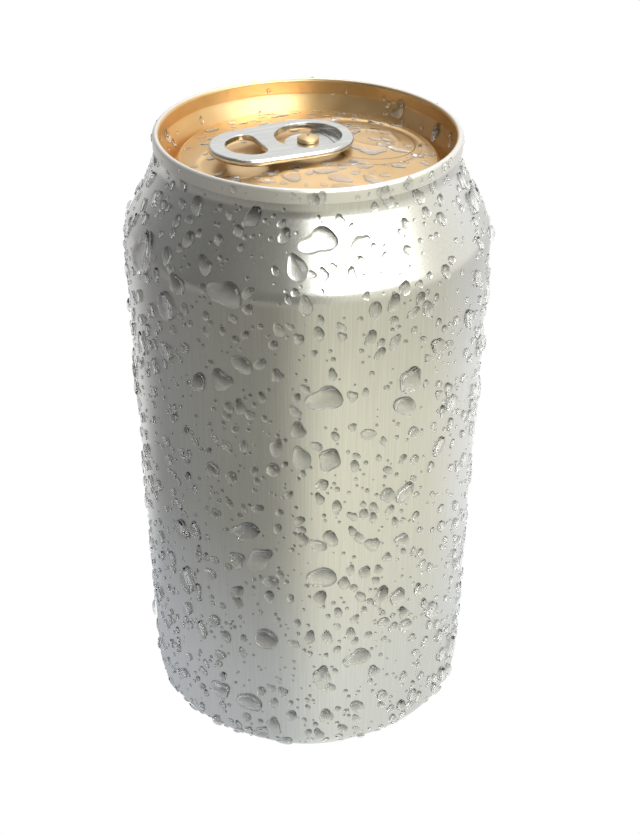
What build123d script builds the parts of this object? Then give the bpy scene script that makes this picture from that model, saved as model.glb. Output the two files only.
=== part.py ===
from build123d import *
import os
from math import asin, atan2, cos, degrees, hypot, radians, sin, sqrt

# A two-piece aluminium drinks can with a stay-on opening tab, in millimetres.
# The origin is the centre of the ring it stands on, +Z is up the can's axis,
# and +X points from the rivet to the nose of the tab and the pour opening.

# ---- Driving dimensions -------------------------------------------------
can_height = 122.2  # from the standing ring to the top of the seam
body_r = 33.1  # outside of the straight wall
seam_r = 27.0  # outside of the double seam
seam_inner_r = 25.8
seam_length = 2.5

base_t = 0.26  # metal of the domed base
wall_t = 0.10  # ironed side wall
neck_t = 0.16  # thicker metal of the neck and its hook
end_t = 0.21  # can end
tab_t = 0.35  # tab strip
seam_slack = 0.0625  # space between neighbouring metals in the seam
compound_slack = 0.015  # space left on each side of the sealing compound

# Base
dome_height = 10.2
dome_r = 50.0
knee_r = 1.4  # bend from the dome into the standing ring's inner leg
leg_r = 22.4
stand_bend_r = 1.3  # bends on both sides of the flat that the can stands on
stand_flat = 0.6
chime_slope = 45.0
heel_r = 6.0  # bend from the chime into the side wall

# Shoulder, from the straight wall up to the seam
shoulder_slope = 30.0  # lean from the vertical
shoulder_bend_r = 6.0
throat_r = 4.0  # bend back to the vertical under the seam
throat_drop = 3.1  # top of that bend, below the top of the seam

# Double seam, measured down from its top
fold_drop = 0.75  # centre of the body hook's bend
body_hook_drop = 2.02
end_hook_drop = 1.0

# Can end, measured down from the top of the seam
panel_drop = 4.55  # where the domed panel meets its edge bend
panel_r = 22.4
panel_bend_r = 1.0
panel_rise = 2.2  # the panel bulges under the drink's pressure
countersink_drop = 6.86
countersink_r = 0.5
chuck_top_r = 25.74  # top of the sloping chuck wall
chuck_top_drop = 2.7
deboss_depth = 0.3
deboss_tail = (-13.2, 7.0)  # centre and radius of the recess's small end
deboss_head = (9.4, 11.8)

# Pour opening and tear panel
opening_centre = 10.5
opening_r = 9.6
opening_edge = 3.62  # straight edge beside the rivet
opening_corner_r = 0.5
tear_edge = 3.95  # straight edge of the tear panel, on its hinge axis
tear_corner_r = 3.0
score_gap = 0.12
bead_centre = 12.6
bead_r = 4.0
bead_width = 0.9
bead_height = 0.15

# Rivet, formed from the end's own metal
rivet_pad_r = 2.6
rivet_pad_drop = 2.42
rivet_pad_slope = 0.6  # width of the slope round the pad
rivet_root_t = 1.0  # depth of the metal under the pad
rivet_r = 1.5
rivet_head_r = 1.95
rivet_head_t = 0.7
rivet_head_edge = 0.4  # upright part of the head's edge
rivet_head_bevel = 0.35
rivet_bore_r = 1.1
fit_gap = 0.04  # between the riveted metals

# Tab
tab_drop = 0.95  # tab's top, below the top of the seam
tab_height = 1.2
tab_tail = (-10.6, 7.6)  # centre and radius of the finger end
tab_nose = (-0.1, 8.1)
rim_width = 1.35
rim_round = 0.55
hinge_x = 3.9  # bend line between the tab and its rivet island
floor_edge = 0.12  # tab's nose floor starts this far in front of the bend line
island_edge = 0.18  # rivet island ends this far behind it
island_r = 4.4
island_shift = -0.6
flange_start = 2.3  # island widens from here to the bend line
flange_half = 4.1
slot_r = 5.9
finger_centre = -10.6
finger_r = 4.7
finger_edge = -9.1  # straight side of the finger hole
finger_corner_r = 1.9
finger_roll = 0.7  # width of the rolled edge round the finger hole
finger_roll_height = 1.0

# ---- Values that follow from them ---------------------------------------
panel_top = can_height - panel_drop + panel_rise
panel_dome_r = (panel_r**2 + panel_rise**2) / (2 * panel_rise)
panel_turn = degrees(asin(panel_r / panel_dome_r))
panel_edge_z = can_height - panel_drop
seam_mid_r = (seam_inner_r + seam_r) / 2
seam_bend_r = (seam_r - seam_inner_r) / 2
body_fold_r = seam_slack + end_t / 2
neck_line_r = seam_mid_r - body_fold_r
tab_top = can_height - tab_drop
tab_bottom = tab_top - tab_height
pad_top = can_height - rivet_pad_drop
island_bottom = pad_top + fit_gap
island_top = island_bottom + tab_t
head_z = island_top + fit_gap  # underside of the rivet's head


def wrap(small, large):
    """Outline that wraps two circles on the X axis, each given as (centre, radius)."""
    (x1, r1), (x2, r2) = small, large
    lean = asin((r2 - r1) / (x2 - x1))
    a = (x1 - r1 * sin(lean), r1 * cos(lean))
    b = (x2 - r2 * sin(lean), r2 * cos(lean))
    with BuildSketch() as outline:
        with BuildLine():
            Line(a, b)
            ThreePointArc(b, (x2 + r2, 0), (b[0], -b[1]))
            Line((b[0], -b[1]), (a[0], -a[1]))
            ThreePointArc((a[0], -a[1]), (x1 - r1, 0), a)
        make_face()
    return outline.sketch


def round_past(centre, radius, edge, corner_r):
    """Disc cut straight at x = edge, with the two corners rounded."""
    with BuildSketch() as outline:
        with Locations((centre, 0)):
            Circle(radius)
        with Locations((edge, 0)):
            side = Align.MAX if centre > edge else Align.MIN
            Rectangle(4 * radius, 4 * radius, align=(side, Align.CENTER), mode=Mode.SUBTRACT)
        fillet(outline.vertices(), corner_r)
    return outline.sketch


def dome_sheet(top_drop, bottom_drop, reach=panel_r):
    """Domed sheet between two depths below the panel's upper surface."""
    centre_z = panel_top - panel_dome_r
    with BuildPart() as sheet:
        with BuildSketch(Plane.XZ):
            with Locations((0, centre_z)):
                Circle(panel_dome_r - top_drop)
                Circle(panel_dome_r - bottom_drop, mode=Mode.SUBTRACT)
            with BuildLine():
                slant = panel_dome_r + 10
                turn = asin(reach / panel_dome_r)
                wedge = (slant * sin(turn), centre_z + slant * cos(turn))
                Polyline((0, centre_z), (0, centre_z + slant), wedge, close=True)
            make_face(mode=Mode.INTERSECT)
        revolve(axis=Axis.Z)
    return sheet.part


# ---- Can body -----------------------------------------------------------
# Drawn, ironed and necked from one disc: domed base, side wall, neck and hook.
dome_turn = degrees(asin((leg_r - knee_r) / (dome_r - knee_r)))
stand_outer_r = leg_r + stand_bend_r + stand_flat
chime_start_r = stand_outer_r + stand_bend_r * sin(radians(chime_slope))
heel_in = heel_r * (1 - sin(radians(chime_slope)))
chime_run = (body_r - heel_in - chime_start_r) / cos(radians(chime_slope))
lean = radians(shoulder_slope)
bends_r = shoulder_bend_r + throat_r
shoulder_run = (body_r - neck_line_r - bends_r * (1 - cos(lean))) / sin(lean)
shoulder_rise = bends_r * sin(lean) + shoulder_run * cos(lean)
shoulder_z = can_height - throat_drop - shoulder_rise

with BuildPart() as can_body:
    with BuildSketch(Plane.XZ):
        with BuildLine() as base_line:
            dome = JernArc((0, dome_height), (1, 0), dome_r, -dome_turn)
            knee = JernArc(dome @ 1, dome % 1, knee_r, dome_turn - 90)
            leg = Line(knee @ 1, (leg_r, stand_bend_r))
            JernArc(leg @ 1, (0, -1), stand_bend_r, 90)
            stand = Line((leg_r + stand_bend_r, 0), (stand_outer_r, 0))
            stand_out = JernArc(stand @ 1, (1, 0), stand_bend_r, chime_slope)
            chime = PolarLine(stand_out @ 1, chime_run, chime_slope)
            heel = JernArc(chime @ 1, chime % 1, heel_r, 90 - chime_slope)
            offset(amount=base_t, side=Side.LEFT)
        make_face()
        with BuildLine() as wall_line:
            side_wall = Line(heel @ 1, (body_r, shoulder_z))
            offset(amount=wall_t, side=Side.LEFT)
        make_face()
        with BuildLine() as neck_line:
            bend = JernArc(side_wall @ 1, (0, 1), shoulder_bend_r, shoulder_slope)
            slope = PolarLine(bend @ 1, shoulder_run, 90 + shoulder_slope)
            throat = JernArc(slope @ 1, slope % 1, throat_r, -shoulder_slope)
            riser = Line(throat @ 1, (neck_line_r, can_height - fold_drop))
            fold = JernArc(riser @ 1, (0, 1), body_fold_r, -180)
            Line(fold @ 1, (seam_mid_r + body_fold_r, can_height - body_hook_drop))
            offset(amount=neck_t, side=Side.LEFT)
        make_face()
    revolve(axis=Axis.Z)

# ---- Sealing compound ---------------------------------------------------
# Cured rubber that fills the crescent over the body hook, under the end's curl.
compound_top_r = seam_bend_r - end_t - compound_slack
compound_bottom_r = body_fold_r + neck_t + compound_slack
bend_z = can_height - seam_bend_r
fold_z = can_height - fold_drop
side_in = sqrt(compound_bottom_r**2 - (bend_z - fold_z) ** 2)

with BuildPart() as seam_compound:
    with BuildSketch(Plane.XZ):
        with BuildLine():
            over = ThreePointArc(
                (seam_mid_r - compound_top_r, bend_z),
                (seam_mid_r, bend_z + compound_top_r),
                (seam_mid_r + compound_top_r, bend_z),
            )
            under = ThreePointArc(
                (seam_mid_r - side_in, bend_z),
                (seam_mid_r, fold_z + compound_bottom_r),
                (seam_mid_r + side_in, bend_z),
            )
            Line(over @ 0, under @ 0)
            Line(over @ 1, under @ 1)
        make_face()
    revolve(axis=Axis.Z)

# ---- Can end ------------------------------------------------------------
# One pressed sheet: double-seam curl, chuck wall, countersink, domed panel with
# its recess and pour opening, and the hollow rivet that holds the tab.
panel_edge_r = panel_r + panel_bend_r * (1 - sin(radians(panel_turn)))
sink_z = can_height - countersink_drop + countersink_r
sink_r = panel_edge_r + countersink_r
chuck_top_z = can_height - chuck_top_drop
chuck_reach = hypot(chuck_top_r - sink_r, chuck_top_z - sink_z)
chuck_heading = atan2(chuck_top_z - sink_z, chuck_top_r - sink_r) + asin(countersink_r / chuck_reach)
chuck_lean = 90 - degrees(chuck_heading)
chuck_bend_r = (seam_inner_r - chuck_top_r) / (1 - cos(radians(chuck_lean)))
curl_r = (seam_r - seam_mid_r - end_t / 2) / 2 + end_t / 2
curl_z = can_height - seam_length + curl_r

deboss = wrap(deboss_tail, deboss_head)
opening = round_past(opening_centre, opening_r, opening_edge, opening_corner_r)
tear_outline = round_past(opening_centre, opening_r - score_gap, tear_edge, tear_corner_r)

with BuildPart() as recess:
    add(dome_sheet(-1, deboss_depth))
    extrude(deboss, amount=can_height, mode=Mode.INTERSECT)

with BuildPart() as below_panel:
    add(dome_sheet(end_t, 2, reach=panel_r + 1))
    extrude(offset(deboss, end_t), amount=can_height, mode=Mode.SUBTRACT)

with BuildPart() as panel:
    add(dome_sheet(0, deboss_depth + end_t))
    add(recess.part, mode=Mode.SUBTRACT)
    add(below_panel.part, mode=Mode.SUBTRACT)
    extrude(opening, amount=can_height, mode=Mode.SUBTRACT)

with BuildPart() as can_end:
    with BuildSketch(Plane.XZ):
        with BuildLine():
            edge_bend = JernArc(
                (panel_r, panel_edge_z),
                (cos(radians(panel_turn)), -sin(radians(panel_turn))),
                panel_bend_r,
                panel_turn - 90,
            )
            panel_wall = Line(edge_bend @ 1, (panel_edge_r, sink_z))
            sink = JernArc(panel_wall @ 1, (0, -1), countersink_r, 180 - chuck_lean)
            chuck_wall = Line(sink @ 1, (chuck_top_r, chuck_top_z))
            chuck_bend = JernArc(chuck_wall @ 1, chuck_wall % 1, chuck_bend_r, chuck_lean)
            inner_lip = Line(chuck_bend @ 1, (seam_inner_r, can_height - seam_bend_r))
            lip = JernArc(inner_lip @ 1, (0, 1), seam_bend_r, -180)
            outer_lip = Line(lip @ 1, (seam_r, curl_z))
            curl = JernArc(outer_lip @ 1, (0, -1), curl_r, -180)
            Line(curl @ 1, (seam_r - 2 * curl_r, can_height - end_hook_drop))
            offset(amount=end_t, side=Side.RIGHT)
        make_face()
    revolve(axis=Axis.Z)
    add(panel.part)
    with BuildSketch(Plane.XZ):
        with BuildLine():
            Polyline(
                (0, pad_top - rivet_root_t),
                (rivet_pad_r + rivet_pad_slope, pad_top - rivet_root_t / 2),
                (rivet_pad_r, pad_top),
                (rivet_r, pad_top),
                (rivet_r, head_z),
                (rivet_head_r, head_z),
                (rivet_head_r, head_z + rivet_head_edge),
                (rivet_head_r - rivet_head_bevel, head_z + rivet_head_t),
                (0, head_z + rivet_head_t),
                close=True,
            )
        make_face()
    revolve(axis=Axis.Z)
    with BuildSketch(Plane.XY.offset(head_z + rivet_head_t - end_t - fit_gap)):
        Circle(rivet_bore_r)
    extrude(amount=-2 * rivet_root_t - island_top + pad_top, mode=Mode.SUBTRACT)

# ---- Tear panel ---------------------------------------------------------
with BuildPart() as bead:
    add(dome_sheet(deboss_depth - bead_height, deboss_depth + 0.1))
    with BuildSketch(Plane.XY) as bead_ring:
        with Locations((bead_centre, 0)):
            Circle(bead_r + bead_width)
            Circle(bead_r, mode=Mode.SUBTRACT)
    extrude(bead_ring.sketch, amount=can_height, mode=Mode.INTERSECT)

with BuildPart() as tear_panel:
    add(dome_sheet(deboss_depth, deboss_depth + end_t))
    extrude(tear_outline, amount=can_height, mode=Mode.INTERSECT)
    add(bead.part)

# ---- Tab lever ----------------------------------------------------------
# Strip with its edge curled under, a rolled finger hole, and a sunk floor behind
# the nose. It bends up about the line at hinge_x, and its nose pushes down.
tab_outline = wrap(tab_tail, tab_nose)
finger_hole = round_past(finger_centre, finger_r, finger_edge, finger_corner_r)
nose_side = (hinge_x + floor_edge, 0)

with BuildPart() as tab_lever:
    with BuildSketch(Plane.XY.offset(tab_bottom)):
        add(tab_outline)
    extrude(amount=tab_height)
    fillet(tab_lever.edges().group_by(Axis.Z)[-1], rim_round)
    fillet(tab_lever.edges().group_by(Axis.Z)[0], rim_round)
    with BuildSketch(Plane.XY.offset(tab_bottom)):
        offset(tab_outline, -rim_width)
    extrude(amount=tab_height - tab_t, mode=Mode.SUBTRACT)
    with BuildSketch(Plane.XY.offset(tab_top - finger_roll_height)):
        offset(finger_hole, finger_roll)
    extrude(amount=finger_roll_height - tab_t / 2)
    with BuildSketch(Plane.XY.offset(tab_bottom)):
        Circle(slot_r + tab_t)
    extrude(amount=tab_height - tab_t / 2)
    with BuildSketch(Plane.XY.offset(tab_bottom)):
        add(finger_hole)
        Circle(slot_r)
    extrude(amount=tab_height, mode=Mode.SUBTRACT)
    with BuildSketch(Plane.XY.offset(island_bottom)) as nose_floor:
        Circle(slot_r + tab_t)
        with Locations(nose_side):
            Rectangle(40, 40, align=(Align.MAX, Align.CENTER), mode=Mode.SUBTRACT)
    extrude(amount=tab_t)

# ---- Rivet island -------------------------------------------------------
# The tongue of the same strip that the rivet clamps to the can end.
with BuildPart() as tab_island:
    with BuildSketch(Plane.XY.offset(island_bottom)):
        with Locations((0, island_shift)):
            Circle(island_r)
        with Locations((flange_start, 0)):
            Rectangle(hinge_x - flange_start, 2 * flange_half, align=(Align.MIN, Align.CENTER))
        with Locations((hinge_x - island_edge, 0)):
            Rectangle(20, 20, align=(Align.MIN, Align.CENTER), mode=Mode.SUBTRACT)
        Circle(rivet_r + fit_gap, mode=Mode.SUBTRACT)
    extrude(amount=tab_t)

# ---- Labels and files ---------------------------------------------------
pieces = {
    "can_body": can_body,
    "seam_compound": seam_compound,
    "can_end": can_end,
    "tear_panel": tear_panel,
    "tab_lever": tab_lever,
    "tab_island": tab_island,
}
os.makedirs("parts", exist_ok=True)
for name, piece in pieces.items():
    piece.part.label = name
    export_step(piece.part, f"parts/{name}.step")
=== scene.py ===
# %% [markdown]
# # A cold drinks can
# The can is drawn aluminium: a thin body with a domed base and a necked shoulder, and a
# gold-lacquered end rolled onto it, with a bright tab. It has come out of a fridge, so it
# is covered in dew. The CAD model gives every size and every place, and this script gives
# the can its smooth surfaces, its metals and its water.

import math
import random

import bpy
import numpy as np
from mathutils import Matrix, Vector


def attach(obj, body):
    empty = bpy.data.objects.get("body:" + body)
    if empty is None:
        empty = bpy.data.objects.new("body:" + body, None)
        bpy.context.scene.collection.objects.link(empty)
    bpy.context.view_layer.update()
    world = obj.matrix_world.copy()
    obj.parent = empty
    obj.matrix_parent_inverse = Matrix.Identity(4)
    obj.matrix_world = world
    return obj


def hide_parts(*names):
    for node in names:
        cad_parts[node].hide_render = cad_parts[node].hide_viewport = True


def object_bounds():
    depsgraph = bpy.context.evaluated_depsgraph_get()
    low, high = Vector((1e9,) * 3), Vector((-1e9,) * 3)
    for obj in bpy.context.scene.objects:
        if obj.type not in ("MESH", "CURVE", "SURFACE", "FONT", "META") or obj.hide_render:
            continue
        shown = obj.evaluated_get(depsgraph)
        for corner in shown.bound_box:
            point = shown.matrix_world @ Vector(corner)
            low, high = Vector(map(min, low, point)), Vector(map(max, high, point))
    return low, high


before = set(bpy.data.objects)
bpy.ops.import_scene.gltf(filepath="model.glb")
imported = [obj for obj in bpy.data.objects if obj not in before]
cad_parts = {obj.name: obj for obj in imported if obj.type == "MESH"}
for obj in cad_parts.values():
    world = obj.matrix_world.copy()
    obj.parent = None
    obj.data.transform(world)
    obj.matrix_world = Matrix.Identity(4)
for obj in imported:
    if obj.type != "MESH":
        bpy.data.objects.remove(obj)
cad_low, cad_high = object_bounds()
MM = 0.001
print("can is", round((cad_high.z - cad_low.z) / MM, 1), "mm high")

# %% [markdown]
# ## Helpers
# An operator acts on everything that is selected, so each new piece starts with nothing
# selected. Lengths below are in millimetres, and only leave that unit in the last step.

# %% Selection and finishing
def deselect():
    if bpy.context.object and bpy.context.object.mode != "OBJECT":
        bpy.ops.object.mode_set(mode="OBJECT")
    bpy.ops.object.select_all(action="DESELECT")


def make_active(piece):
    deselect()
    piece.select_set(True)
    bpy.context.view_layer.objects.active = piece


def finish_piece(piece, name, body, node=None, sharp=None):
    """Names a piece, sets its place into its mesh, and says what it rides on and stands for."""
    make_active(piece)
    bpy.ops.object.transform_apply(location=True, rotation=True, scale=True)
    if sharp is None:
        bpy.ops.object.shade_smooth()
    else:
        bpy.ops.object.shade_smooth_by_angle(angle=math.radians(sharp))
    piece.name = name
    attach(piece, body)
    if node:
        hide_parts(node)
    print(name, "has", len(piece.data.polygons), "faces")
    return piece


# %% [markdown]
# ## Profiles
# A can is turned sheet metal, so its section is a line that runs on in straight stretches
# and arcs. The helper walks such a line like a pen, and drops a point every few degrees.

# %% Walk a section line
def walk(start, heading, *steps, arc_step=6):
    """Points along ("run", length) and ("turn", radius, degrees) steps; a left turn is positive."""
    points = [tuple(start)]
    x, y = start
    for kind, size, *turn in steps:
        if kind == "run":
            x += size * math.cos(math.radians(heading))
            y += size * math.sin(math.radians(heading))
            points.append((x, y))
            continue
        count = max(2, math.ceil(abs(turn[0]) / arc_step))
        side = math.copysign(90, turn[0])
        cx = x + size * math.cos(math.radians(heading + side))
        cy = y + size * math.sin(math.radians(heading + side))
        for k in range(1, count + 1):
            a = heading + turn[0] * k / count - side
            points.append((cx + size * math.cos(math.radians(a)), cy + size * math.sin(math.radians(a))))
        heading += turn[0]
        x, y = points[-1]
    return points


def thicken_line(points, thickness):
    """Closes a line into a strip, with the second side to the left of it."""
    p = np.array(points)
    step = np.gradient(p, axis=0)
    step /= np.linalg.norm(step, axis=1)[:, None]
    left = np.stack([-step[:, 1], step[:, 0]], 1) * np.reshape(thickness, (-1, 1))
    return [tuple(q) for q in p] + [tuple(q) for q in (p + left)[::-1]]


def spin_section(section, turns=160, closed=True):
    """Spins a section, given as (radius, height) points, round the can's axis."""
    deselect()
    mesh = bpy.data.meshes.new("section")
    count = len(section)
    edges = [(k, k + 1) for k in range(count - 1)]
    if closed:
        edges.append((count - 1, 0))
    mesh.from_pydata([(r * MM, 0, z * MM) for r, z in section], edges, [])
    piece = bpy.data.objects.new("section", mesh)
    bpy.context.scene.collection.objects.link(piece)
    make_active(piece)
    bpy.ops.object.mode_set(mode="EDIT")
    bpy.ops.mesh.select_all(action="SELECT")
    bpy.ops.mesh.spin(steps=turns, angle=math.tau, center=(0, 0, 0), axis=(0, 0, 1))
    bpy.ops.mesh.select_all(action="SELECT")
    bpy.ops.mesh.remove_doubles(threshold=1e-6)
    bpy.ops.mesh.normals_make_consistent(inside=False)
    bpy.ops.object.mode_set(mode="OBJECT")
    return piece


# %% [markdown]
# ## Sizes
# These are the sizes of the CAD model, in millimetres.

# %% Sizes
HEIGHT = (cad_high.z - cad_low.z) / MM
BODY_R = (cad_high.x - cad_low.x) / MM / 2
SEAM_R, SEAM_INNER_R, SEAM_LENGTH = 27.0, 25.8, 2.5
BASE_T, WALL_T, NECK_T, END_T, TAB_T = 0.26, 0.10, 0.16, 0.21, 0.35

# Base and chime
DOME_HEIGHT, DOME_BEND, KNEE_BEND = 10.2, 50, 1.4
LEG_R, STAND_BEND, STAND_FLAT = 22.4, 1.3, 0.6
CHIME_SLOPE, HEEL_BEND = 45, 6

# Shoulder and the body's hook in the seam, measured down from the top
SHOULDER_SLOPE, SHOULDER_BEND = 30, 6
THROAT_BEND, THROAT_DROP = 4, 3.1
HOOK_DROP, HOOK_BEND, HOOK_LENGTH = 0.75, 0.1675, 1.2

# Can end, measured down from the top
PANEL_R, PANEL_DROP, PANEL_RISE, PANEL_BEND = 22.4, 4.55, 2.2, 1.0
SINK_DROP, SINK_BEND = 6.86, 0.5
CHUCK_R, CHUCK_DROP, CHUCK_STEP = 25.74, 2.7, 0.06
CURL_BEND, CURL_LENGTH = 0.3525, 1.1

# Pour opening, and the tear panel inside it with its raised bead, given by its middle line
OPENING_X, OPENING_R, OPENING_EDGE = 10.5, 9.6, 3.62
TEAR_R, TEAR_EDGE = 9.48, 3.95
BEAD_X, BEAD_R, BEAD_HALF, BEAD_HEIGHT = 12.6, 4.45, 0.45, 0.16

# Rivet and tab: the tab's two ends are (centre, radius)
RIVET_R, FIT_GAP = 1.5, 0.04
TAB_ENDS = ((-10.6, 7.6), (-0.1, 8.1))
FOLD_START, FOLD_WIDTH = 3.3, 0.4

# %% [markdown]
# ## Can body
# The body is one cup of metal, so it is one section spun all the way round: dome, standing
# ring, chime, wall and neck. Spinning a section keeps every ring a true circle, with no
# facets, which is what a mirror-like metal needs.

# %% Can body section
def body_line():
    """The body's outside line from the middle of the dome to its hook, and its thicknesses."""
    dome_turn = math.asin((LEG_R - KNEE_BEND) / (DOME_BEND - KNEE_BEND))
    leg_top = DOME_HEIGHT - DOME_BEND * (1 - math.cos(dome_turn)) - KNEE_BEND * math.cos(dome_turn)
    dome_degrees = math.degrees(dome_turn)
    chime_lean = math.radians(CHIME_SLOPE)
    chime_start = LEG_R + STAND_BEND + STAND_FLAT + STAND_BEND * math.sin(chime_lean)
    heel_in = HEEL_BEND * (1 - math.sin(chime_lean))
    chime = (BODY_R - heel_in - chime_start) / math.cos(chime_lean)
    heel_top = STAND_BEND * (1 - math.cos(chime_lean)) + chime * math.sin(chime_lean)
    heel_top += HEEL_BEND * math.cos(chime_lean)

    lean = math.radians(SHOULDER_SLOPE)
    bends = SHOULDER_BEND + THROAT_BEND
    neck_r = (SEAM_R + SEAM_INNER_R) / 2 - HOOK_BEND
    slope = (BODY_R - neck_r - bends * (1 - math.cos(lean))) / math.sin(lean)
    rise = bends * math.sin(lean) + slope * math.cos(lean)
    wall = HEIGHT - THROAT_DROP - rise - heel_top

    base = walk(
        (0, DOME_HEIGHT), 0,
        ("turn", DOME_BEND, -dome_degrees), ("turn", KNEE_BEND, dome_degrees - 90),
        ("run", leg_top - STAND_BEND), ("turn", STAND_BEND, 90), ("run", STAND_FLAT),
        ("turn", STAND_BEND, CHIME_SLOPE), ("run", chime), ("turn", HEEL_BEND, 90 - CHIME_SLOPE),
        arc_step=5,
    )
    side = walk(base[-1], 90, *[("run", wall / 12)] * 12)
    neck = walk(
        side[-1], 90,
        ("turn", SHOULDER_BEND, SHOULDER_SLOPE), *[("run", slope / 4)] * 4,
        ("turn", THROAT_BEND, -SHOULDER_SLOPE), ("run", THROAT_DROP - HOOK_DROP),
        ("turn", HOOK_BEND, -180), ("run", HOOK_LENGTH),
        arc_step=3,
    )
    thickness = [BASE_T] * len(base) + [WALL_T] * (len(side) - 2) + [NECK_T] * len(neck)
    return base + side[1:-1] + neck, thickness


outer_line, outer_t = body_line()
body = spin_section(thicken_line(outer_line, outer_t))
finish_piece(body, "body_shell", "can", "can_body")

# %% [markdown]
# ## Can end
# The end's rim is also a section: the curl that is rolled over the body's flange, the chuck
# wall and the countersink groove. The panel inside it is domed by the pressure of the
# drink, and carries a recess, so it is a disc of rings whose heights follow a formula.

# %% End rim
PANEL_TOP = HEIGHT - PANEL_DROP + PANEL_RISE
DOME_R = (PANEL_R**2 + PANEL_RISE**2) / (2 * PANEL_RISE)


def end_line():
    """The end's upper line, from the panel's edge to the tip of its hook in the seam."""
    panel_lean = math.asin(PANEL_R / DOME_R)
    turn = math.degrees(panel_lean)
    edge_r = PANEL_R + PANEL_BEND * (1 - math.sin(panel_lean))
    edge_z = HEIGHT - PANEL_DROP - PANEL_BEND * math.cos(panel_lean)
    sink = (edge_r + SINK_BEND, HEIGHT - SINK_DROP + SINK_BEND)
    top = (CHUCK_R, HEIGHT - CHUCK_DROP)
    reach = math.hypot(top[0] - sink[0], top[1] - sink[1])
    heading = math.atan2(top[1] - sink[1], top[0] - sink[0]) + math.asin(SINK_BEND / reach)
    lean = 90 - math.degrees(heading)
    bend = CHUCK_STEP / (1 - math.cos(math.radians(lean)))
    wall = math.sqrt(reach**2 - SINK_BEND**2)
    lip_z = top[1] + bend * math.sin(math.radians(lean))
    seam_bend = (SEAM_R - SEAM_INNER_R) / 2
    return walk(
        (PANEL_R, HEIGHT - PANEL_DROP), -turn,
        ("turn", PANEL_BEND, turn - 90), ("run", edge_z - sink[1]), ("turn", SINK_BEND, 180 - lean),
        *[("run", wall / 6)] * 6, ("turn", bend, lean),
        ("run", HEIGHT - seam_bend - lip_z), ("turn", seam_bend, -180),
        ("run", SEAM_LENGTH - seam_bend - CURL_BEND), ("turn", CURL_BEND, -180), ("run", CURL_LENGTH),
        arc_step=12,
    )


rim_line = end_line()
rim = spin_section(thicken_line(rim_line, [-END_T] * len(rim_line)))
finish_piece(rim, "end_rim", "can", "can_end")

# %% Panel heights
RECESS = ((-13.2, 7.0), (9.4, 11.8))  # its two ends are (centre, radius)
RECESS_DEPTH, RECESS_SIDE = 0.3, 0.7
PAD_R, PAD_TOP, PAD_SIDE = 2.6, HEIGHT - 2.42, 0.8


def wrap_distance(x, y, ends):
    """Distance outside an outline that wraps two circles on the X axis; negative inside."""
    (x1, r1), (x2, r2) = ends
    lean = math.asin((r2 - r1) / (x2 - x1))
    across = abs(y)
    along = (x - x1) * math.cos(lean) + across * math.sin(lean)
    reach = (x2 - x1) * math.cos(lean)
    if along < 0:
        return math.hypot(x - x1, y) - r1
    if along > reach:
        return math.hypot(x - x2, y) - r2
    return across * math.cos(lean) - (x - x1) * math.sin(lean) - r1


def ease(t):
    """Goes from 0 to 1 smoothly as t does, and stays there outside that range."""
    t = min(1.0, max(0.0, t))
    return t * t * (3 - 2 * t)


def dome_z(x, y):
    return PANEL_TOP - DOME_R + math.sqrt(DOME_R**2 - x * x - y * y)


def panel_z(x, y):
    """Height of the panel's upper face: dome, recess with soft sides, rivet pad and tear bead."""
    z = dome_z(x, y) - RECESS_DEPTH * ease(0.5 - wrap_distance(x, y, RECESS) / RECESS_SIDE)
    pad = ease((PAD_R + 0.6 - math.hypot(x, y)) / PAD_SIDE)
    bead = math.hypot(x - BEAD_X, y) - BEAD_R
    z += BEAD_HEIGHT * math.exp(-(bead / BEAD_HALF) ** 2)
    return z + (PAD_TOP - z) * pad


def panel_disc(name, turns=180, rings=84):
    """Disc of rings at the panel's height, thickened downwards to the end's metal."""
    line = [(PANEL_R * k / rings, 0) for k in range(rings + 1)]
    disc = spin_section(line, turns, closed=False)
    for v in disc.data.vertices:
        x, y = v.co.x / MM, v.co.y / MM
        v.co.z = panel_z(x, y) * MM
    sheet = disc.modifiers.new("metal", "SOLIDIFY")
    sheet.thickness = END_T * MM
    sheet.offset = -1 if disc.data.polygons[0].normal.z > 0 else 1
    bpy.ops.object.modifier_apply(modifier=sheet.name)
    disc.name = name
    return disc


def opening_cutter(centre, radius, edge):
    """Prism with an outline like the pour opening's: a cylinder with one side cut flat."""
    deselect()
    bpy.ops.mesh.primitive_cylinder_add(
        vertices=128, radius=radius * MM, depth=20 * MM, location=(centre * MM, 0, PANEL_TOP * MM)
    )
    cutter = bpy.context.object
    bpy.ops.object.transform_apply(location=True)
    bpy.ops.object.mode_set(mode="EDIT")
    bpy.ops.mesh.select_all(action="SELECT")
    bpy.ops.mesh.bisect(
        plane_co=(edge * MM, 0, 0), plane_no=(1, 0, 0), use_fill=True, clear_inner=True
    )
    bpy.ops.object.mode_set(mode="OBJECT")
    return cutter


def cut_with(piece, cutter, operation):
    make_active(piece)
    cut = piece.modifiers.new("cut", "BOOLEAN")
    cut.operation = operation
    cut.solver = "EXACT"
    cut.object = cutter
    bpy.ops.object.modifier_apply(modifier=cut.name)
    bpy.data.objects.remove(cutter)


# %% Panel and tear panel
panel = panel_disc("end_panel")
cut_with(panel, opening_cutter(OPENING_X, OPENING_R, OPENING_EDGE), "DIFFERENCE")
finish_piece(panel, "end_panel", "can", "can_end", sharp=35)

flap = panel_disc("tear_flap")
cut_with(flap, opening_cutter(OPENING_X, TEAR_R, TEAR_EDGE), "INTERSECT")
finish_piece(flap, "tear_flap", "tear_flap", "tear_panel", sharp=35)

# %% [markdown]
# ## Rivet
# The rivet is a button drawn up out of the panel and flattened over the tab.

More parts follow.
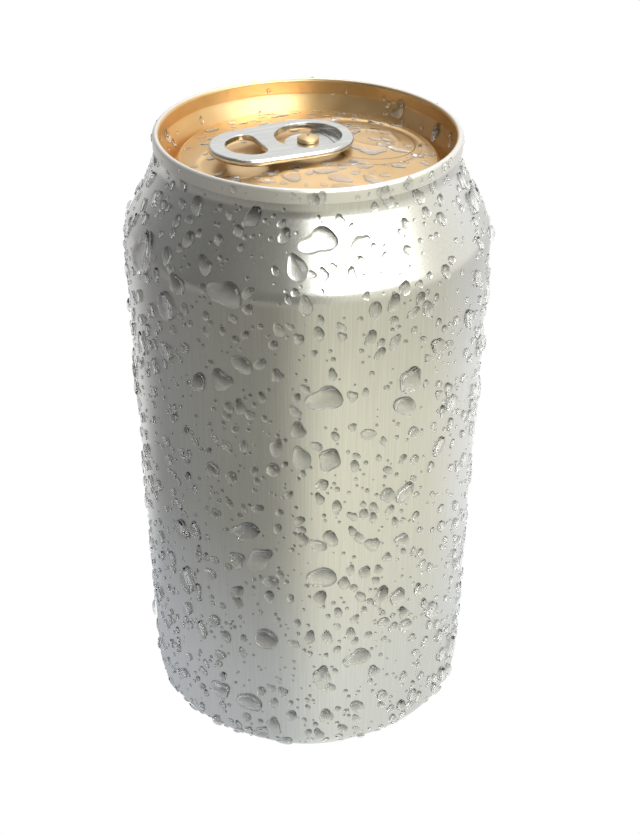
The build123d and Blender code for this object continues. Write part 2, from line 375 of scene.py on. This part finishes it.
# %% Rivet
rivet_foot = PAD_TOP - 0.15
head_base = PAD_TOP + FIT_GAP + TAB_T + FIT_GAP
rivet_line = walk(
    (RIVET_R, rivet_foot), 90,
    ("run", head_base - rivet_foot), ("turn", 0.01, -90), ("run", 0.35),
    ("turn", 0.08, 90), ("run", 0.22), ("turn", 0.36, 72), ("run", 0.55), ("turn", 3.0, 18),
    arc_step=15,
)
rivet = spin_section(rivet_line, 48, closed=False)
finish_piece(rivet, "rivet_button", "can", "can_end", sharp=50)

# %% [markdown]
# ## Tab
# The tab is stamped, folded and curled, so nothing on it has a sharp edge. A copy of the
# CAD tab is turned into one fine even skin, and that skin is relaxed until the edges are
# as soft as rolled metal. A little wander in its height gives it the uneven
# reflections of worked strip.

# %% Tab
def soften(node, name, body, voxel, rounds, wander, reach=0.0):
    """A softened copy of a CAD node, whose skin has cells of a voxel's size in mm.

    Wander is the size in mm of the waves in its height. Reach draws the edge beside the
    bend line forward by that much, to close the fold there.
    """
    deselect()
    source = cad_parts[node]
    piece = source.copy()
    piece.data = source.data.copy()
    piece.parent = None
    for key in list(piece.keys()):
        del piece[key]
    bpy.context.scene.collection.objects.link(piece)
    make_active(piece)
    bpy.ops.object.mode_set(mode="EDIT")
    bpy.ops.mesh.select_all(action="SELECT")
    bpy.ops.mesh.remove_doubles(threshold=1e-7)
    bpy.ops.object.mode_set(mode="OBJECT")
    skin = piece.modifiers.new("skin", "REMESH")
    skin.mode = "VOXEL"
    skin.voxel_size = voxel * MM
    bpy.ops.object.modifier_apply(modifier=skin.name)
    relax = piece.modifiers.new("relax", "SMOOTH")
    relax.factor = 0.5
    relax.iterations = rounds
    bpy.ops.object.modifier_apply(modifier=relax.name)
    for v in piece.data.vertices:
        x, y = v.co.x / MM, v.co.y / MM
        wave = math.sin(0.9 * x + 1.3) * math.cos(0.7 * y + 0.4 * x) + 0.5 * math.sin(1.9 * y - 1.1 * x)
        v.co.z += wander * wave * MM
        v.co.x += reach * max(0, x - FOLD_START) / FOLD_WIDTH * MM
    return finish_piece(piece, name, body, node)


tab = soften("tab_lever", "tab_ring", "tab", 0.11, 6, 0.03)
tongue = soften("tab_island", "tab_tongue", "can", 0.09, 4, 0.02, 0.24)

# %% [markdown]
# ## Drops
# Every drop is a low dome of water with an outline of its own. A few shapes are modelled
# from half a sphere, and each is copied many times, turned, sized and laid on the metal.
# A drop that has run into its neighbour is longer and bent.

# %% Drop shapes
def drop_shape(name, stretch, bends, segments, rings, height=0.52):
    """Half a sphere of radius 1 with a wavy outline: bends are (waves, size, phase)."""
    deselect()
    bpy.ops.mesh.primitive_uv_sphere_add(segments=segments, ring_count=rings * 2, radius=1)
    drop = bpy.context.object
    bpy.ops.object.mode_set(mode="EDIT")
    bpy.ops.mesh.select_all(action="SELECT")
    bpy.ops.mesh.bisect(plane_co=(0, 0, 0), plane_no=(0, 0, 1), use_fill=True, clear_inner=True)
    bpy.ops.mesh.select_all(action="SELECT")
    bpy.ops.transform.resize(value=(1, stretch, height))
    bpy.ops.object.mode_set(mode="OBJECT")
    for v in drop.data.vertices:
        angle = math.atan2(v.co.y, v.co.x)
        swell = 1 + sum(size * math.cos(waves * angle + phase) for waves, size, phase in bends)
        fade = math.hypot(v.co.x, v.co.y)
        swell = 1 + (swell - 1) * min(1, fade)
        v.co.x *= swell
        v.co.y *= swell
    drop.name = name
    return drop


OUTLINES = [
    ("drop_round", 1.05, [(2, 0.03, 0.4), (3, 0.03, 1.0)]),
    ("drop_oval", 1.4, [(3, 0.06, 0.3), (2, 0.05, 2.0)]),
    ("drop_tear", 1.6, [(1, 0.26, 1.57), (3, 0.07, 1.2)]),
    ("drop_bean", 1.8, [(1, 0.16, 0.0), (2, 0.14, 1.2), (3, 0.14, 0.3)]),
    ("drop_squarish", 1.15, [(4, 0.09, 0.6), (3, 0.05, 2.1)]),
    ("drop_lobed", 1.4, [(3, 0.20, 0.9), (2, 0.12, 0.2), (5, 0.05, 1.0)]),
    ("drop_comma", 2.0, [(1, 0.27, 1.2), (2, 0.16, 0.8), (3, 0.15, 2.4)]),
]
small_shapes = [drop_shape(*outline, 8, 3) for outline in OUTLINES]
shapes = [drop_shape(*outline, 12, 4) for outline in OUTLINES]
fine_shapes = [drop_shape(*outline, 32, 8) for outline in OUTLINES]
FINE_FROM, PLAIN_FROM = 1.35, 0.48  # smallest half widths, in mm, of the finer two sets
shape_points = {
    s.name: np.array([v.co[:] for v in s.data.vertices]) for s in small_shapes + shapes + fine_shapes
}

# %% [markdown]
# ## Laying drops on the metal
# The outside of the can is a section line too, so a place on it is an angle round the can
# and a distance along that line. A drop's flat base is bent to follow the metal there.

# %% Ways to lay a drop
SUNK = 0.012  # how far a drop's base is below the metal's face, in mm
CHIME_FROM = 25  # the outside line has left the standing ring at this radius
outer = np.array(outer_line)
outer_run = np.concatenate([[0], np.cumsum(np.hypot(*np.diff(outer, axis=0).T))])
outer_step = np.gradient(outer, outer_run, axis=0)
outer_step /= np.linalg.norm(outer_step, axis=1)[:, None]


def run_at(height):
    """Distance along the outside line at a height on the wall or shoulder."""
    start = int(np.argmax(outer[:, 0] > CHIME_FROM))
    return float(np.interp(height, outer[start:-12, 1], outer_run[start:-12]))


def on_body(points, angle, run):
    """Points (across, along, out) in mm, laid at an angle round the can and a run along its line."""
    s = run + points[:, 1]
    r = np.interp(s, outer_run, outer[:, 0])
    z = np.interp(s, outer_run, outer[:, 1])
    nr = np.interp(s, outer_run, outer_step[:, 1])
    nz = -np.interp(s, outer_run, outer_step[:, 0])
    theta = angle + points[:, 0] / float(np.interp(run, outer_run, outer[:, 0]))
    r = r + nr * points[:, 2]
    return np.stack([r * np.cos(theta), r * np.sin(theta), z + nz * points[:, 2]], 1) * MM


def on_panel(points, x, y):
    """On the panel's upper face, with the drop's middle at (x, y)."""
    px, py = x + points[:, 0], y + points[:, 1]
    z = np.array([panel_z(a, b) for a, b in zip(px, py)]) + points[:, 2]
    return np.stack([px, py, z], 1) * MM


def on_chuck(points, angle, height):
    """On the inside of the chuck wall, which leans out as it rises."""
    z = height + points[:, 1]
    wall = np.array(rim_line)
    top = int(np.argmax(wall[:, 1] > HEIGHT - 0.7))
    low = int(np.argmin(wall[:top, 1]))
    r = np.interp(z, wall[low:top, 1], wall[low:top, 0]) - points[:, 2]
    theta = angle + points[:, 0] / 25.0
    return np.stack([r * np.cos(theta), r * np.sin(theta), z], 1) * MM


def on_seam(points, angle, height):
    """On the outer face of the seam."""
    theta = angle + points[:, 0] / SEAM_R
    r = SEAM_R + points[:, 2]
    return np.stack([r * np.cos(theta), r * np.sin(theta), height + points[:, 1]], 1) * MM


def lay_drop(which, size, turn, flat, place, *where):
    """A copy of a drop shape, sized to a half width in mm, turned, and laid in place.

    Each drop keeps a "shade" value for painted shade, high on its edge towards the light, where the
    water bends light away from the metal, and a "glow" value for painted light, high on the far side,
    where it gathers light.
    """
    shape = (fine_shapes if size > FINE_FROM else shapes if size > PLAIN_FROM else small_shapes)[which]
    p = shape_points[shape.name] * size
    c, s = math.cos(turn), math.sin(turn)
    flat_p = np.stack(
        [c * p[:, 0] - s * p[:, 1], s * p[:, 0] + c * p[:, 1], p[:, 2] * flat - SUNK], 1
    )
    drop = shape.copy()
    drop.data = shape.data.copy()
    # Where painted shade and painted light fall on the drop.
    towards = (0.35 * flat_p[:, 0] + 0.94 * flat_p[:, 1]) / np.abs(flat_p[:, :2]).max()
    height = p[:, 2] / p[:, 2].max()
    values = {
        "shade": np.clip((towards - 0.25) / 0.45, 0, 1) * np.clip(1.15 - height, 0, 1),
        "glow": np.clip((0.25 - towards) / 0.5, 0, 1) * np.clip(2 * height, 0, 1),
    }
    for key, value in values.items():
        kept = drop.data.attributes.new(key, "FLOAT", "POINT")
        kept.data.foreach_set("value", value.astype(np.float32))
    drop.data.vertices.foreach_set("co", place(flat_p, *where).astype(np.float32).ravel())
    bpy.context.scene.collection.objects.link(drop)
    return drop


def join_drops(drops, name, body):
    """Joins drops into one piece of water that rides on a body."""
    deselect()
    for drop in drops:
        drop.select_set(True)
    bpy.context.view_layer.objects.active = drops[0]
    bpy.ops.object.join()
    piece = bpy.context.object
    make_active(piece)
    bpy.ops.object.mode_set(mode="EDIT")
    bpy.ops.mesh.select_all(action="SELECT")
    bpy.ops.mesh.normals_make_consistent(inside=False)
    bpy.ops.object.mode_set(mode="OBJECT")
    return finish_piece(piece, name, body, sharp=50)


def drop_size(chance, typical, largest, variety):
    """Half width of a drop in mm: most are near the typical one, and a few are far larger."""
    return min(largest, typical * math.exp(chance.gauss(0, variety)))


def scatter(chance, count, low, high, sizes, gap, circle, placed):
    """Adds places (angle, run, size) that don't run into each other to the ones given.

    Sizes are as for drop_size. Two drops stay a gap times their half widths apart, and
    circle is the radius in mm that turns an angle into a distance round the can.
    """
    tries = 0
    while len(placed) < count and tries < count * 40:
        tries += 1
        size = drop_size(chance, *sizes)
        angle, run = chance.uniform(-math.pi, math.pi), chance.uniform(low, high)
        clear = all(
            (r - run) ** 2 + (circle * ((a - angle + math.pi) % math.tau - math.pi)) ** 2
            > (gap * (size + s)) ** 2
            for a, r, s in placed
        )
        if clear:
            placed.append((angle, run, size))
    return placed


# %% Dew on the body
# Large drops, as degrees from the front (more is to the right), height, half width, turn
# and shape.
LARGE_DROPS = [
    (-60.5, 107.5, 2.4, 0.1, 2), (-24, 105.8, 1.9, 1.2, 3), (-32.5, 109.2, 1.1, 0.5, 3),
    (-19, 93.8, 1.4, 0.9, 1), (-26, 90, 1.6, 0.5, 5), (6, 88.2, 1.9, 1.5, 3),
    (33.5, 89.2, 2.0, -0.5, 4), (32, 84.4, 1.7, 0.9, 1), (7.5, 76.2, 1.9, 2.8, 4),
    (-1.5, 77.2, 1.5, 0.3, 2), (-21, 59.2, 1.6, 1.7, 6), (-14.5, 54.5, 1.7, -0.9, 6),
    (33.5, 55.5, 1.4, 1.3, 4), (5.5, 50.5, 2.0, 1.5, 1), (33, 42.2, 1.6, -0.4, 4),
    (-13.5, 34.8, 2.2, 0.1, 0), (18.5, 29.5, 1.7, 1.6, 3), (-32, 18, 1.8, 1.0, 5),
    (-20.5, 17.2, 2.0, 1.4, 1), (-3, 111.2, 1.5, 0.4, 2), (4.5, 114.2, 1.9, 1.6, 3),
    (-31, 71.2, 1.4, 0.2, 0), (48.5, 73, 1.3, -0.5, 2),
]
chance = random.Random(20)
low_run, high_run = run_at(6.0), run_at(HEIGHT - 3.4)  # from the chime to under the seam
front_angle = math.radians(-116)
placed = []
body_drops = []
for degrees, height, size, turn, which in LARGE_DROPS:
    angle = front_angle + math.radians(degrees)
    placed.append((angle, run_at(height), size * 1.25))
    body_drops.append(lay_drop(which, size, turn, 0.75, on_body, angle, run_at(height)))
large_count = len(placed)
scatter(chance, 1900, low_run, high_run, (0.66, 2.0, 0.45), 1.22, BODY_R, placed)
scatter(chance, 3200, low_run, high_run, (0.30, 0.47, 0.3), 1.15, BODY_R, placed)
for angle, run, size in placed[large_count:]:
    which = 0 if size < 0.5 else chance.choice([0, 1, 1, 2, 3, 4, 4, 5, 6])
    turn = chance.gauss(0, 0.6) + (math.pi if chance.random() < 0.3 else 0)
    body_drops.append(lay_drop(which, size, turn, chance.uniform(0.7, 1.0), on_body, angle, run))

# The drops are joined in three bands, to keep each piece a reasonable size.
bands = {"dew_foot": [], "dew_middle": [], "dew_shoulder": []}
for drop in body_drops:
    height = drop.data.vertices[0].co.z / MM
    name = "dew_foot" if height < 40 else "dew_middle" if height < 80 else "dew_shoulder"
    bands[name].append(drop)
for name, band in bands.items():
    join_drops(band, name, "can")

# %% [markdown]
# ## Dew on the end
# The seam and the chuck wall carry small drops. On the panel, drops lie flat and wide, keep
# clear of the metal under the tab, and never cross the edge of the tear panel, because the
# tear panel swings away with its own drops on it.

# %% Dew on the seam, the chuck wall and the panel
ROUNDED, UNEVEN = [0, 1, 4], [1, 3, 4, 5, 6]  # shapes by their number in the outlines
seam_drops = []
for k in range(70):
    size = drop_size(chance, 0.35, 0.95, 0.5)
    height = HEIGHT - SEAM_LENGTH / 2 + chance.uniform(-0.4, 0.5)
    turn = chance.uniform(-0.5, 0.5)
    seam_drops.append(
        lay_drop(chance.choice(ROUNDED), size, turn, 0.7, on_seam, chance.uniform(-3.14, 3.14), height)
    )
for k in range(60):
    size = drop_size(chance, 0.4, 1.0, 0.5)
    height = HEIGHT - chance.uniform(1.8, 5.4)
    seam_drops.append(
        lay_drop(chance.choice(ROUNDED), size, 0.0, 0.8, on_chuck, chance.uniform(-3.14, 3.14), height)
    )
join_drops(seam_drops, "seam_dew", "can")

panel_drops = []
flap_drops = []
tries = 0
spots = []
DEW_R = 21.6  # drops on the panel have their middles inside this radius
while len(spots) < 120 and tries < 6000:
    tries += 1
    r, a = DEW_R * math.sqrt(chance.random()), chance.uniform(-math.pi, math.pi)
    x, y = r * math.cos(a), r * math.sin(a)
    size = drop_size(chance, 1.0, 2.6, 0.5)
    under_tab = wrap_distance(x, y, TAB_ENDS) < -0.5
    near_edge = abs(math.hypot(x - OPENING_X, y) - 9.55) < size * 1.3
    if under_tab or near_edge or r + size > DEW_R + 1:
        continue
    if any((x - u) ** 2 + (y - v) ** 2 < (1.1 * (size + s)) ** 2 for u, v, s in spots):
        continue
    spots.append((x, y, size))
    drop = lay_drop(
        chance.choice(UNEVEN), size, chance.uniform(-3.1, 3.1), 0.14, on_panel, x, y
    )
    on_flap = math.hypot(x - OPENING_X, y) < TEAR_R and x > TEAR_EDGE
    (flap_drops if on_flap else panel_drops).append(drop)
join_drops(panel_drops, "panel_dew", "can")
join_drops(flap_drops, "flap_dew", "tear_flap")

for shape in small_shapes + shapes + fine_shapes:
    bpy.data.objects.remove(shape)

# %% [markdown]
# ## Metals and water
# Bare aluminium is a mirror that has been scratched in one direction: the ironing die
# leaves fine lines up the wall. The end is the same metal under a gold lacquer.

# %% Node helpers
def new_material(name):
    """A material with one Principled shader, as (material, nodes, links, shader)."""
    material = bpy.data.materials.new(name)
    material.use_nodes = True
    nodes = material.node_tree.nodes
    nodes.clear()
    out = nodes.new("ShaderNodeOutputMaterial")
    shader = nodes.new("ShaderNodeBsdfPrincipled")
    material.node_tree.links.new(shader.outputs[0], out.inputs[0])
    return material, nodes, material.node_tree.links, shader


def noise(nodes, links, coords, scale, stretch=(1, 1, 1), detail=3.0, rough=0.5):
    """Noise on object coordinates, drawn out along the axes with a small stretch value."""
    mapping = nodes.new("ShaderNodeMapping")
    mapping.inputs["Scale"].default_value = stretch
    links.new(coords, mapping.inputs["Vector"])
    texture = nodes.new("ShaderNodeTexNoise")
    texture.inputs["Scale"].default_value = scale
    texture.inputs["Detail"].default_value = detail
    texture.inputs["Roughness"].default_value = rough
    links.new(mapping.outputs[0], texture.inputs["Vector"])
    return texture.outputs["Fac"]


def spread(nodes, links, source, low, high):
    """Maps a noise's middle range to low..high."""
    ranged = nodes.new("ShaderNodeMapRange")
    ranged.inputs["From Min"].default_value = 0.3
    ranged.inputs["From Max"].default_value = 0.7
    ranged.inputs["To Min"].default_value = low
    ranged.inputs["To Max"].default_value = high
    links.new(source, ranged.inputs["Value"])
    return ranged.outputs["Result"]


def blend_colours(nodes, links, factor, first, second):
    """Mixes two colours, each given as a colour or as another node's output."""
    mix = nodes.new("ShaderNodeMix")
    mix.data_type = "RGBA"
    for socket, colour in ((mix.inputs[6], first), (mix.inputs[7], second)):
        if isinstance(colour, bpy.types.NodeSocket):
            links.new(colour, socket)
        else:
            socket.default_value = (*colour, 1)
    links.new(factor, mix.inputs[0])
    return mix.outputs[2]


def bump(nodes, links, height, strength, distance, shader):
    """Relief from a height output; the distance is in mm."""
    node = nodes.new("ShaderNodeBump")
    node.inputs["Strength"].default_value = strength
    node.inputs["Distance"].default_value = distance * MM
    links.new(height, node.inputs["Height"])
    links.new(node.outputs[0], shader.inputs["Normal"])


def axis_distance(nodes, links, coords):
    """Distance from the can's axis, in metres."""
    flat = nodes.new("ShaderNodeVectorMath")
    flat.operation = "MULTIPLY"
    flat.inputs[1].default_value = (1, 1, 0)
    links.new(coords, flat.inputs[0])
    radius = nodes.new("ShaderNodeVectorMath")
    radius.operation = "LENGTH"
    links.new(flat.outputs[0], radius.inputs[0])
    return radius.outputs["Value"]


# %% Ironed aluminium of the body
def ironed_aluminium():
    material, nodes, links, shader = new_material("ironed_aluminium")
    coords = nodes.new("ShaderNodeTexCoord").outputs["Object"]
    lines = noise(nodes, links, coords, 4200, (1, 1, 0.02), 3, 0.6)
    patches = noise(nodes, links, coords, 60, (1, 1, 0.5), 3, 0.5)
    streak = spread(nodes, links, lines, 0, 1)
    colour = blend_colours(nodes, links, streak, (0.70, 0.70, 0.68), (0.79, 0.79, 0.77))
    links.new(colour, shader.inputs["Base Color"])
    links.new(spread(nodes, links, patches, 0.22, 0.30), shader.inputs["Roughness"])
    shader.inputs["Metallic"].default_value = 1.0
    shader.inputs["Anisotropic"].default_value = 0.5
    tangent = nodes.new("ShaderNodeTangent")
    tangent.direction_type = "RADIAL"
    tangent.axis = "Z"
    links.new(tangent.outputs[0], shader.inputs["Tangent"])
    bump(nodes, links, lines, 0.08, 0.02, shader)
    return material


# %% Lacquered end
LACQUER_R, BARE_R = 26.0, 26.25  # on the seam's crest, gold gives way to bare metal


def lacquered_end():
    """Gold inside the seam; the seam's outer face is bare, and its crest is rubbed bright."""
    material, nodes, links, shader = new_material("lacquered_end")
    coords = nodes.new("ShaderNodeTexCoord").outputs["Object"]
    ripples = noise(nodes, links, coords, 420, (1, 1, 1), 3, 0.5)
    tone = noise(nodes, links, coords, 90, (1, 1, 1), 3, 0.5)
    patch = spread(nodes, links, tone, 0, 1)
    gold = blend_colours(nodes, links, patch, (0.70, 0.47, 0.22), (0.82, 0.60, 0.35))
    edge = nodes.new("ShaderNodeMapRange")
    edge.inputs["From Min"].default_value = LACQUER_R * MM
    edge.inputs["From Max"].default_value = BARE_R * MM
    links.new(axis_distance(nodes, links, coords), edge.inputs["Value"])
    colour = blend_colours(nodes, links, edge.outputs[0], gold, (0.80, 0.79, 0.76))
    links.new(colour, shader.inputs["Base Color"])
    worn = nodes.new("ShaderNodeMapRange")
    worn.inputs["To Min"].default_value = 1.0
    worn.inputs["To Max"].default_value = 0.82
    links.new(edge.outputs[0], worn.inputs["Value"])
    links.new(worn.outputs[0], shader.inputs["Metallic"])
    links.new(spread(nodes, links, tone, 0.32, 0.42), shader.inputs["Roughness"])
    bump(nodes, links, ripples, 0.15, 0.05, shader)
    return material


# %% Tab and rivet
def bright_strip():
    material, nodes, links, shader = new_material("bright_strip")
    coords = nodes.new("ShaderNodeTexCoord").outputs["Object"]
    dents = noise(nodes, links, coords, 190, (1, 1, 1), 3, 0.5)
    grain = noise(nodes, links, coords, 1500, (0.05, 1, 1), 3, 0.6)
    streak = spread(nodes, links, grain, 0, 1)
    colour = blend_colours(nodes, links, streak, (0.60, 0.60, 0.58), (0.72, 0.72, 0.70))
    links.new(colour, shader.inputs["Base Color"])
    shader.inputs["Metallic"].default_value = 1.0
    links.new(spread(nodes, links, dents, 0.18, 0.30), shader.inputs["Roughness"])
    bump(nodes, links, dents, 0.8, 0.30, shader)
    return material


# %% Water and sealing compound
def water(name, dark, painted_glow):
    """Clear water with painted shade and painted light: dark tints it as painted shade where "shade" is
    high, and the last value clouds it white, as painted light, where "glow" is.
    """
    material, nodes, links, shader = new_material(name)
    shade = nodes.new("ShaderNodeAttribute")
    shade.attribute_name = "shade"
    # Painted shade: the drop's edge towards the light is darkened.
    painted_shade_tint = blend_colours(nodes, links, shade.outputs["Fac"], (1, 1, 1), (dark, dark, dark * 0.97))
    links.new(painted_shade_tint, shader.inputs["Base Color"])
    # Painted light: less transmission lets a white diffuse part brighten the drop's far side.
    glow = nodes.new("ShaderNodeAttribute")
    glow.attribute_name = "glow"
    clear = nodes.new("ShaderNodeMapRange")
    clear.inputs["To Min"].default_value = 1.0
    clear.inputs["To Max"].default_value = 1.0 - painted_glow
    links.new(glow.outputs["Fac"], clear.inputs["Value"])
    links.new(clear.outputs[0], shader.inputs["Transmission Weight"])
    shader.inputs["Roughness"].default_value = 0.0
    shader.inputs["IOR"].default_value = 1.333
    return material


def cured_compound():
    material, nodes, links, shader = new_material("cured_compound")
    coords = nodes.new("ShaderNodeTexCoord").outputs["Object"]
    mottle = noise(nodes, links, coords, 900, (1, 1, 1), 3, 0.6)
    patch = spread(nodes, links, mottle, 0, 1)
    colour = blend_colours(nodes, links, patch, (0.30, 0.32, 0.30), (0.40, 0.42, 0.39))
    links.new(colour, shader.inputs["Base Color"])
    shader.inputs["Roughness"].default_value = 0.75
    return material


def coat(piece, material):
    """Gives a piece one material and no other."""
    piece.data.materials.clear()
    piece.data.materials.append(material)


body_metal, end_metal, tab_metal, compound = (
    ironed_aluminium(), lacquered_end(), bright_strip(), cured_compound(),
)
# Both waters carry painted shade and painted light; the end's water is shaded far less.
wall_dew, end_dew = water("wall_dew", 0.14, 0.12), water("end_dew", 0.75, 0.16)
coat(body, body_metal)
for piece in (rim, panel, flap, rivet):
    coat(piece, end_metal)
for piece in (tab, tongue):
    coat(piece, tab_metal)
for name in ("dew_foot", "dew_middle", "dew_shoulder"):
    coat(bpy.data.objects[name], wall_dew)
for name in ("seam_dew", "panel_dew", "flap_dew"):
    coat(bpy.data.objects[name], end_dew)
coat(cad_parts["seam_compound"], compound)

# %% [markdown]
# ## Studio
# Metal shows what stands round it, so the studio is most of the picture: a white sweep
# behind, a broad bright window at the front right, and a dark side at the front left.

# %% Camera
AZIMUTH, ELEVATION, ROLL = math.radians(-26.0), 0.737, 0.0095
DISTANCE, AIM_RIGHT, AIM_HEIGHT = 343.82, 3.068, -18.367
right = Vector((math.cos(AZIMUTH), math.sin(AZIMUTH), 0))
FRONT = Vector((math.sin(AZIMUTH), -math.cos(AZIMUTH), 0))
back = FRONT * math.cos(ELEVATION) + Vector((0, 0, math.sin(ELEVATION)))
up = back.cross(right)
side_axis = right * math.cos(ROLL) + up * math.sin(ROLL)
up_axis = up * math.cos(ROLL) - right * math.sin(ROLL)
target = right * AIM_RIGHT * MM + Vector((0, 0, AIM_HEIGHT * MM))
camera_data = bpy.data.cameras.new("camera")
camera_data.lens = 62.11
camera_data.sensor_width = 36
camera_data.shift_y = 0.3749
camera_data.clip_start = 0.01
camera = bpy.data.objects.new("camera", camera_data)
bpy.context.scene.collection.objects.link(camera)
camera.matrix_world = Matrix.Translation(target + back * DISTANCE * MM) @ Matrix(
    (side_axis, up_axis, back)
).transposed().to_4x4()
bpy.context.scene.camera = camera
bpy.context.scene.view_settings.view_transform = "Standard"

# %% Surroundings as the metal sees them
def azimuth_factor(nodes, links, vector):
    """0..1 round the can: 0.5 is towards the front, and more is to the right of it."""
    parts = []
    for axis in (right, FRONT):
        dot = nodes.new("ShaderNodeVectorMath")
        dot.operation = "DOT_PRODUCT"
        dot.inputs[1].default_value = axis
        links.new(vector, dot.inputs[0])
        parts.append(dot.outputs["Value"])
    angle = nodes.new("ShaderNodeMath")
    angle.operation = "ARCTAN2"
    links.new(parts[0], angle.inputs[0])
    links.new(parts[1], angle.inputs[1])
    scaled = nodes.new("ShaderNodeMapRange")
    scaled.inputs["From Min"].default_value = -math.pi
    scaled.inputs["From Max"].default_value = math.pi
    links.new(angle.outputs[0], scaled.inputs["Value"])
    return scaled.outputs["Result"]


def ramp(nodes, links, factor, stops):
    """Colour ramp with stops given as (degrees from the front, colour)."""
    node = nodes.new("ShaderNodeValToRGB")
    node.color_ramp.interpolation = "EASE"
    node.color_ramp.elements.remove(node.color_ramp.elements[1])
    node.color_ramp.elements[0].position = (stops[0][0] + 180) / 360
    for degrees, _ in stops[1:]:
        node.color_ramp.elements.new((degrees + 180) / 360)
    for element, (_, colour) in zip(node.color_ramp.elements, stops):
        element.color = (*colour, 1)
    links.new(factor, node.inputs[0])
    return node.outputs[0]


def only_seen(nodes, links, seen, reflected, target_socket):
    """White to the camera, the studio's own tones to the metal."""
    path = nodes.new("ShaderNodeLightPath")
    colour = blend_colours(nodes, links, path.outputs["Is Camera Ray"], reflected, seen)
    links.new(colour, target_socket)


def grey(v, warmth=0.0):
    """A grey of a given brightness; warmth takes blue out of it."""
    return (v * (1 + warmth * 0.5), v * (1 + warmth * 0.35), v * (1 - warmth))


world = bpy.data.worlds.new("studio")
world.use_nodes = True
bpy.context.scene.world = world
nodes, links = world.node_tree.nodes, world.node_tree.links
nodes.clear()
world_out = nodes.new("ShaderNodeOutputWorld")
sky = nodes.new("ShaderNodeBackground")
links.new(sky.outputs[0], world_out.inputs[0])
direction = nodes.new("ShaderNodeTexCoord").outputs["Generated"]
WALL_TONES = [
    (-175, grey(1.0)), (-150, grey(0.5)), (-110, grey(0.22)), (-70, grey(0.16, 0.05)),
    (-8, grey(0.18, 0.08)), (25, grey(0.8, 0.12)), (90, grey(0.85, 0.1)), (130, grey(1.0)),
    (178, grey(1.0)),
]
walls = ramp(nodes, links, azimuth_factor(nodes, links, direction), WALL_TONES)
only_seen(nodes, links, (1, 1, 1), walls, sky.inputs["Color"])

# %% Floor
deselect()
bpy.ops.mesh.primitive_plane_add(size=6, location=(0, 0, cad_low.z - 0.0002))
floor = bpy.context.object
floor.name = "floor"
floor_material, nodes, links, shader = new_material("floor_painted_light")
floor_out = [n for n in nodes if n.type == "OUTPUT_MATERIAL"][0]
glow = nodes.new("ShaderNodeEmission")
place = nodes.new("ShaderNodeTexCoord").outputs["Object"]
# Painted light and shade on the glowing floor, seen only by the metal: a bright side at the right, a
# shaded side at the left.
PAINTED_FLOOR_LIGHT = [
    (-175, grey(1.1)), (-138, grey(0.95)), (-105, grey(0.28)), (-20, grey(0.26, 0.1)),
    (15, grey(0.85, 0.15)), (75, grey(0.8, 0.14)), (120, grey(0.95)), (178, grey(1.1)),
]
tones = ramp(nodes, links, azimuth_factor(nodes, links, place), PAINTED_FLOOR_LIGHT)
radius = axis_distance(nodes, links, place)


def floor_step(start, end, tone, before):
    """Blends to a tone (colour and strength) between two distances from the axis, in metres."""
    step = nodes.new("ShaderNodeMapRange")
    step.interpolation_type = "SMOOTHSTEP"
    step.inputs["From Min"].default_value = start
    step.inputs["From Max"].default_value = end
    step.inputs["To Max"].default_value = tone[3]
    links.new(radius, step.inputs["Value"])
    return blend_colours(nodes, links, step.outputs[0], before, tone[:3])


# A painted pool of light round the can's foot, a painted dark ring beyond it, and a paler floor further
# out.
tones = floor_step(0.130, 0.040, (0.76, 0.80, 0.86, 0.55), tones)
tones = floor_step(0.170, 0.240, (0.10, 0.09, 0.07, 0.25), tones)
tones = floor_step(0.300, 0.400, (0.80, 0.78, 0.74, 0.10), tones)
only_seen(nodes, links, (1, 1, 1), tones, glow.inputs["Color"])
links.new(glow.outputs[0], floor_out.inputs[0])
nodes.remove(shader)
floor.data.materials.append(floor_material)

# %% Window light
def softbox(name, azimuth, elevation, distance, size, power, colour):
    """Area light that faces the can; azimuth is from the front, to the right."""
    light = bpy.data.lights.new(name, "AREA")
    light.shape = "RECTANGLE"
    light.size, light.size_y = size
    light.energy = power
    light.color = colour
    lamp = bpy.data.objects.new(name, light)
    bpy.context.scene.collection.objects.link(lamp)
    a, e = math.radians(azimuth), math.radians(elevation)
    way = (FRONT * math.cos(a) + right * math.sin(a)) * math.cos(e) + Vector((0, 0, math.sin(e)))
    lamp.location = way * distance + Vector((0, 0, 0.1))
    lamp.rotation_mode = "QUATERNION"
    lamp.rotation_quaternion = way.to_track_quat("Z", "Y")


softbox("window", 40, 41, 1.0, (0.9, 0.52), 9, (1.0, 1.0, 0.95))
softbox("overhead", 150, 70, 1.0, (0.6, 0.6), 2.5, (1.0, 0.98, 0.95))
